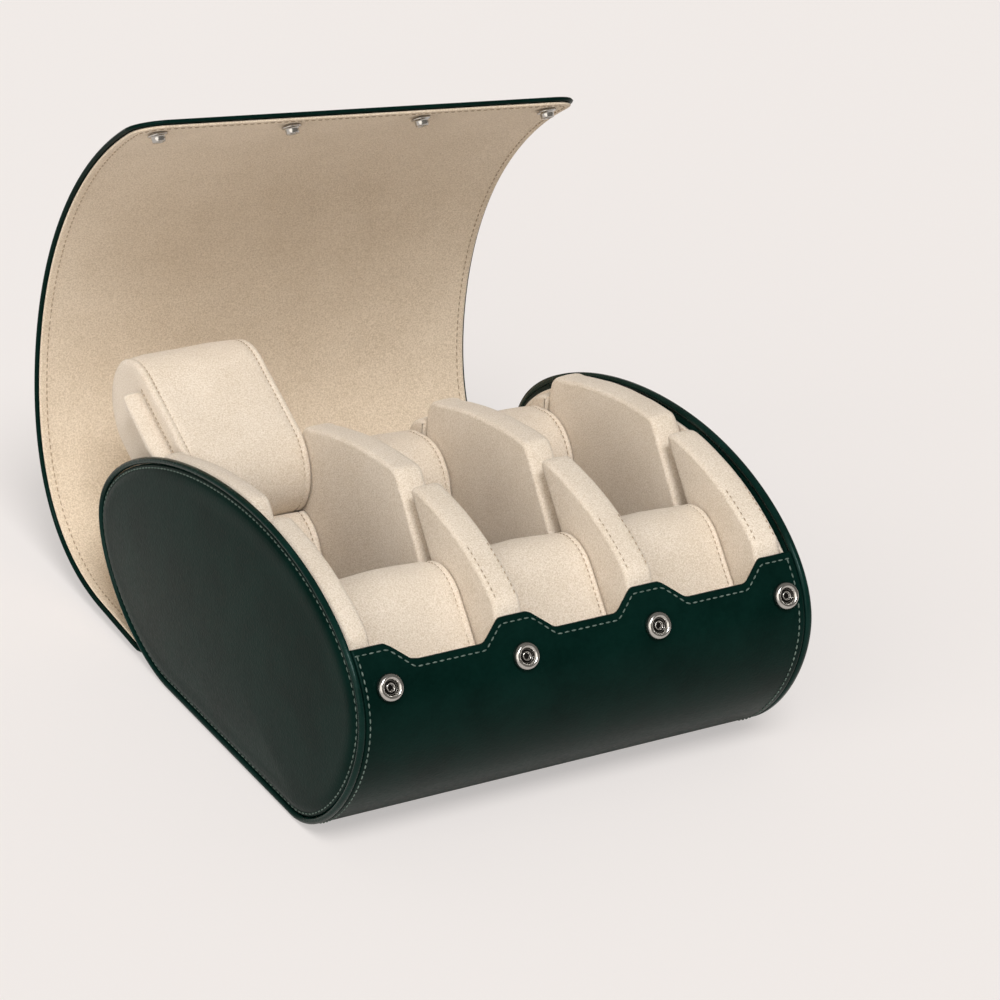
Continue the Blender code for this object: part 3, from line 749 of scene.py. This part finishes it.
cushions = []
for i, x in enumerate(SLOT_X, 1):
    front_ends = (FREE_LEFT["front"] if i == 1 else x - CUSHION_HALF, x + CUSHION_HALF)
    rear_ends = (FREE_LEFT["rear"] if i == 1 else x - CUSHION_HALF, x + CUSHION_HALF)
    rear_seat = LOW_SEAT if i == 1 else REAR_SEAT
    cushions.append(cushion_piece(f"front_pillow_{i}", f"front_cushion_{i}", front_ends, *FRONT_SEAT, seed=2.7 * i))
    cushions.append(cushion_piece(f"rear_pillow_{i}", f"rear_cushion_{i}", rear_ends, *rear_seat, seed=11 + 3.1 * i))
raised_ends = (FREE_LEFT["rear"], SLOT_X[0] + CUSHION_HALF)
cushions.append(cushion_piece("raised_pillow", "raised_cushion", raised_ends, *RAISED_SEAT, seed=31.0, size=RAISED))
rib_piece(*cushions[-1][1:3])


# Snap fasteners. Their profiles are (radius, height) from the seat outwards.

SNAP_BELOW_LIP = 0.0170
STUD_FROM_EDGE = 0.0125
SNAP_LIFT = GAP * 1.6
SOCKET_FLOOR = [(0.0026, 0.0003), (0.0026, 0.0007), (0.0008, 0.0008)]
STUD_FLOOR = [(0.0014, 0.0013), (0.0014, 0.0015), (0.0006, 0.0016)]
STUD = [(0.0040, 0.0), (0.0040, 0.0005), (0.0038, 0.0008), (0.0032, 0.0009), (0.0029, 0.0010), (0.0028, 0.0016),
        (0.0027, 0.0029), (0.0025, 0.0033), (0.0021, 0.0034), (0.0017, 0.0032), (0.0015, 0.0026), (0.0015, 0.0013)]


def round_over(inner, outer, low, high, count):
    mid, half = (inner + outer) / 2, (outer - inner) / 2
    out = []
    for k in range(count + 1):
        angle = math.pi * k / count
        out.append((mid + half * math.cos(angle), low + (high - low) * math.sin(angle)))
    return out


SOCKET_RING = ([(0.0054, 0.0)] + round_over(0.0027, 0.0054, 0.0004, 0.0026, 14)
               + [(0.0026, 0.0008), (0.0025, 0.0005)])
SOCKET_BEAD = ([(0.0019, 0.0006)] + round_over(0.0013, 0.0019, 0.0010, 0.0015, 8)
               + [(0.0013, 0.0008), (0.0006, 0.0007)])


def turned_piece(name, profile, place, axis, mat, node=None, sides=40):
    turn = Vector((0.0, 0.0, 1.0)).rotation_difference(axis).to_matrix()
    loops = []
    for radius, height in profile:
        angles = [2 * math.pi * i / sides for i in range(sides)]
        loops.append([place + turn @ Vector((radius * math.cos(a), radius * math.sin(a), height)) for a in angles])
    obj = loft(name, loops, mat)
    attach(obj, BODY)
    if node:
        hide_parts(node)


for i, x in enumerate(PAD_X, 1):
    s = LIP_S + SNAP_BELOW_LIP
    out = -wrap_normal(s)
    place = wrap_point(s, x, -SNAP_LIFT)
    turned_piece(f"socket_ring_{i}", SOCKET_RING, place, out, NICKEL, f"front_snap_{i}")
    # The socket's near-black floor is painted shade in its hole
    turned_piece(f"socket_floor_{i}", SOCKET_FLOOR, place, out, RECESS_PAINTED_SHADE, sides=24)
    turned_piece(f"socket_bead_{i}", SOCKET_BEAD, place, out, NICKEL, sides=28)
    s = END_S - STUD_FROM_EDGE
    into = wrap_normal(s)
    place = wrap_point(s, x, WRAP + SNAP_LIFT)
    turned_piece(f"stud_{i}", STUD, place, into, NICKEL, f"lid_stud_{i}")
    # The stud's near-black floor is painted shade in its hollow
    turned_piece(f"stud_floor_{i}", STUD_FLOOR, place, into, RECESS_PAINTED_SHADE, sides=24)


# Stitching

def stitch_tree():
    """Stitches along a line: points at a set pitch, each with a small thread bead laid along the line."""
    tree = bpy.data.node_groups.new("stitch_row", "GeometryNodeTree")
    tree.interface.new_socket("Geometry", in_out="INPUT", socket_type="NodeSocketGeometry")
    for label, value in (("Pitch", 0.0032), ("Stitch Length", 0.0023), ("Thread Radius", 0.0003)):
        tree.interface.new_socket(label, in_out="INPUT", socket_type="NodeSocketFloat").default_value = value
    tree.interface.new_socket("Thread", in_out="INPUT", socket_type="NodeSocketMaterial")
    tree.interface.new_socket("Geometry", in_out="OUTPUT", socket_type="NodeSocketGeometry")
    start, end = tree.nodes.new("NodeGroupInput"), tree.nodes.new("NodeGroupOutput")
    given = start.outputs
    spots = add(tree, "GeometryNodeCurveToPoints", {"mode": "LENGTH"}, Curve=given["Geometry"], Length=given["Pitch"])
    bead = add(tree, "GeometryNodeMeshUVSphere", i0=8, i1=5, i2=0.5)
    width = maths(tree, "MULTIPLY", given["Thread Radius"], 2.0)
    size = add(tree, "ShaderNodeCombineXYZ", i0=given["Stitch Length"], i1=width, i2=width)
    shaped = add(tree, "GeometryNodeTransform", Geometry=bead.outputs[0], Scale=size.outputs[0])
    smooth_bead = add(tree, "GeometryNodeSetShadeSmooth", Geometry=shaped.outputs[0])
    aim = add(tree, "FunctionNodeAlignRotationToVector", {"axis": "X"}, Vector=spots.outputs["Tangent"])
    laid = add(tree, "GeometryNodeInstanceOnPoints", Points=spots.outputs["Points"],
               Instance=smooth_bead.outputs[0], Rotation=aim.outputs[0])
    real = add(tree, "GeometryNodeRealizeInstances", i0=laid.outputs[0])
    coloured = add(tree, "GeometryNodeSetMaterial", Geometry=real.outputs[0], Material=given["Thread"])
    tree.links.new(coloured.outputs[0], end.inputs[0])
    return tree


STITCHES = stitch_tree()
STITCH_LIFT = 0.0001
LID_STITCH_START = WIDEN_S + 0.008


def stitch_piece(name, lines, thread, pitch, length, radius):
    """Rows of stitches along lines of points, as one plain mesh."""
    curve = bpy.data.curves.new(name + "_line", "CURVE")
    curve.dimensions = "3D"
    for points, cyclic in lines:
        spline = curve.splines.new("POLY")
        spline.points.add(len(points) - 1)
        for spot, point in zip(spline.points, points):
            spot.co = (*point, 1.0)
        spline.use_cyclic_u = cyclic
    carrier = bpy.data.objects.new(name + "_line", curve)
    bpy.context.collection.objects.link(carrier)
    modifier = carrier.modifiers.new("stitches", "NODES")
    modifier.node_group = STITCHES
    values = {"Pitch": pitch, "Stitch Length": length, "Thread Radius": radius, "Thread": thread}
    for item in STITCHES.interface.items_tree:
        if item.in_out == "INPUT" and item.name in values:
            modifier[item.identifier] = values[item.name]
    graph = bpy.context.evaluated_depsgraph_get()
    data = bpy.data.meshes.new_from_object(carrier.evaluated_get(graph))
    bpy.data.objects.remove(carrier)
    data.name = name
    data.materials.clear()
    data.materials.append(thread)
    data.polygons.foreach_set("material_index", [0] * len(data.polygons))
    obj = bpy.data.objects.new(name, data)
    bpy.context.collection.objects.link(obj)
    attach(obj, BODY)


def lip_run(inset_by, depth, left, right):
    across = [left + (right - left) * i / 240 for i in range(241)]
    return [wrap_point(LIP_S + lip_drop(x) + inset_by, x, depth) for x in across]


def side_run(x, start, end, depth):
    return [wrap_point(start + (end - start) * i / 120, x, depth) for i in range(121)]


def lid_run(margin, depth):
    """Round the lid: up one side, across the free edge and down the other."""
    half = HALF - margin
    radius = LID_CORNER - margin
    start = LID_STITCH_START
    points = [wrap_point(start + (END_S - margin - radius - start) * i / 200, -half, depth) for i in range(200)]
    for k in range(13):
        angle = math.pi / 2 * k / 12
        s = END_S - margin - radius * (1 - math.sin(angle))
        points.append(wrap_point(s, -half + radius * (1 - math.cos(angle)), depth))
    points += [wrap_point(END_S - margin, (half - radius) * (i / 40 - 1), depth) for i in range(1, 81)]
    for k in range(1, 13):
        angle = math.pi / 2 * (1 - k / 12)
        s = END_S - margin - radius * (1 - math.sin(angle))
        points.append(wrap_point(s, half - radius * (1 - math.cos(angle)), depth))
    for i in range(1, 201):
        s = END_S - margin - radius + (start - END_S + margin + radius) * i / 200
        points.append(wrap_point(s, half, depth))
    return points


body_edges = (-BODY_LEFT + 0.0018, BODY_HALF - 0.0030)
leather_lines = [(lip_run(0.0031, -STITCH_LIFT, *body_edges), False)]
for edge in body_edges:
    leather_lines.append((side_run(edge, LIP_S + 0.004, FLAT_BACK_S - 0.02, -STITCH_LIFT), False))
leather_lines.append((lid_run(0.0042, -STITCH_LIFT), False))
for side in (-1, 1):
    seam_x = side * (CAP_FLAT[side] + 0.0010)
    leather_lines.append(([Vector((seam_x, y, z)) for y, z in closed_oval(CAP_SEAM)], True))
stitch_piece("leather_stitches", leather_lines, GREEN_THREAD, 0.0030, 0.0022, 0.00032)
stitch_piece("lining_stitches", [(lid_run(0.0045, WRAP + STITCH_LIFT), False)], BEIGE_THREAD, 0.0030, 0.0021, 0.00028)

cushion_lines = []
for piece, matrix, half, (long, thick, radius) in cushions:
    for u in (-SEAM_AT, SEAM_AT):
        line = dense(rounded_box(long - 0.0007, thick - 0.0007, radius - 0.0002, 10), 0.004)
        points = [matrix @ Vector((u * half, a, b)) for a, b in line]
        cushion_lines.append(([pressed(p) for p in points] if piece.name == "rear_pillow_1" else points, True))
    if piece.name == "raised_pillow":
        end_seam = [matrix @ Vector((-half - STITCH_LIFT, -0.024 + 0.002 * k, 0.0151)) for k in range(22)]
        cushion_lines.append((end_seam, False))
stitch_piece("cushion_stitches", cushion_lines, BEIGE_THREAD, 0.0024, 0.0016, 0.00022)

# Only the crowns above the lip, and not the left lobe, which lies against its cap
crown = [p for p in inset(front_down(60), 0.0, False) if p[1] > LIP_Z + 0.0042 and p[0] < -0.070]
lobe_lines = []
for x in PAD_X[1:]:
    for side in (-1, 1):
        lobe_lines.append(([Vector((x + side * 0.0043, y, z)) for y, z in crown], False))
stitch_piece("lobe_stitches", lobe_lines, BEIGE_THREAD, 0.0026, 0.0017, 0.0002)


# Stage

def stage_floor(colour, even_share):
    """Pale floor, a part of whose own colour shows evenly to the camera."""
    mesh = bmesh.new()
    bmesh.ops.create_grid(mesh, x_segments=1, y_segments=1, size=6.0)
    mat, tree, shader = start_material("pale_floor", 0.9)
    shader.inputs["Base Color"].default_value = colour
    shader.inputs["Specular IOR Level"].default_value = 0.0
    glow = add(tree, "ShaderNodeEmission", Color=colour, Strength=1.0)
    seen = tree.nodes.new("ShaderNodeLightPath")
    amount = maths(tree, "MULTIPLY", seen.outputs["Is Camera Ray"], even_share)
    blend = add(tree, "ShaderNodeMixShader", i0=amount, i1=shader.outputs[0], i2=glow.outputs[0])
    tree.links.new(blend.outputs[0], tree.nodes["Material Output"].inputs["Surface"])
    obj = keep("floor", mesh, mat)
    obj.location.z = -0.0004


def soft_sun(name, place, strength, spread, colour):
    data = bpy.data.lights.new(name, "SUN")
    data.energy = strength
    data.angle = math.radians(spread)
    data.color = colour
    obj = bpy.data.objects.new(name, data)
    obj.rotation_euler = (-Vector(place)).to_track_quat("-Z", "Y").to_euler()
    bpy.context.collection.objects.link(obj)


stage_floor((0.898, 0.863, 0.850, 1), 0.52)
soft_sun("key", (-0.30, -0.90, 1.25), 2.15, 22.0, (1.0, 0.985, 0.97))
soft_sun("fill", (-1.0, -0.60, 0.45), 1.38, 60.0, (1.0, 0.945, 0.87))
world = bpy.data.worlds.new("studio")
bpy.context.scene.world = world
world.use_nodes = True
world.node_tree.nodes["Background"].inputs[0].default_value = (0.94, 0.88, 0.80, 1)
world.node_tree.nodes["Background"].inputs[1].default_value = 0.26

# The camera, as fitted to the end ovals, the snaps and the lip
CAMERA_PLACE = (-0.80724, -1.35713, 0.89192)
CAMERA_RIGHT = Vector((0.866103, -0.496895, 0.054405))
CAMERA_UP = Vector((0.184059, 0.418215, 0.889508))
camera_data = bpy.data.cameras.new("camera")
camera_data.lens = 161.15
camera_data.sensor_width = 36.0
camera_data.clip_start = 0.05
camera_data.clip_end = 50.0
camera = bpy.data.objects.new("camera", camera_data)
turn = Matrix((CAMERA_RIGHT, CAMERA_UP, CAMERA_RIGHT.cross(CAMERA_UP))).transposed().to_4x4()
camera.matrix_world = Matrix.Translation(CAMERA_PLACE) @ turn
bpy.context.collection.objects.link(camera)
bpy.context.scene.camera = camera
bpy.context.scene.view_settings.view_transform = "Standard"
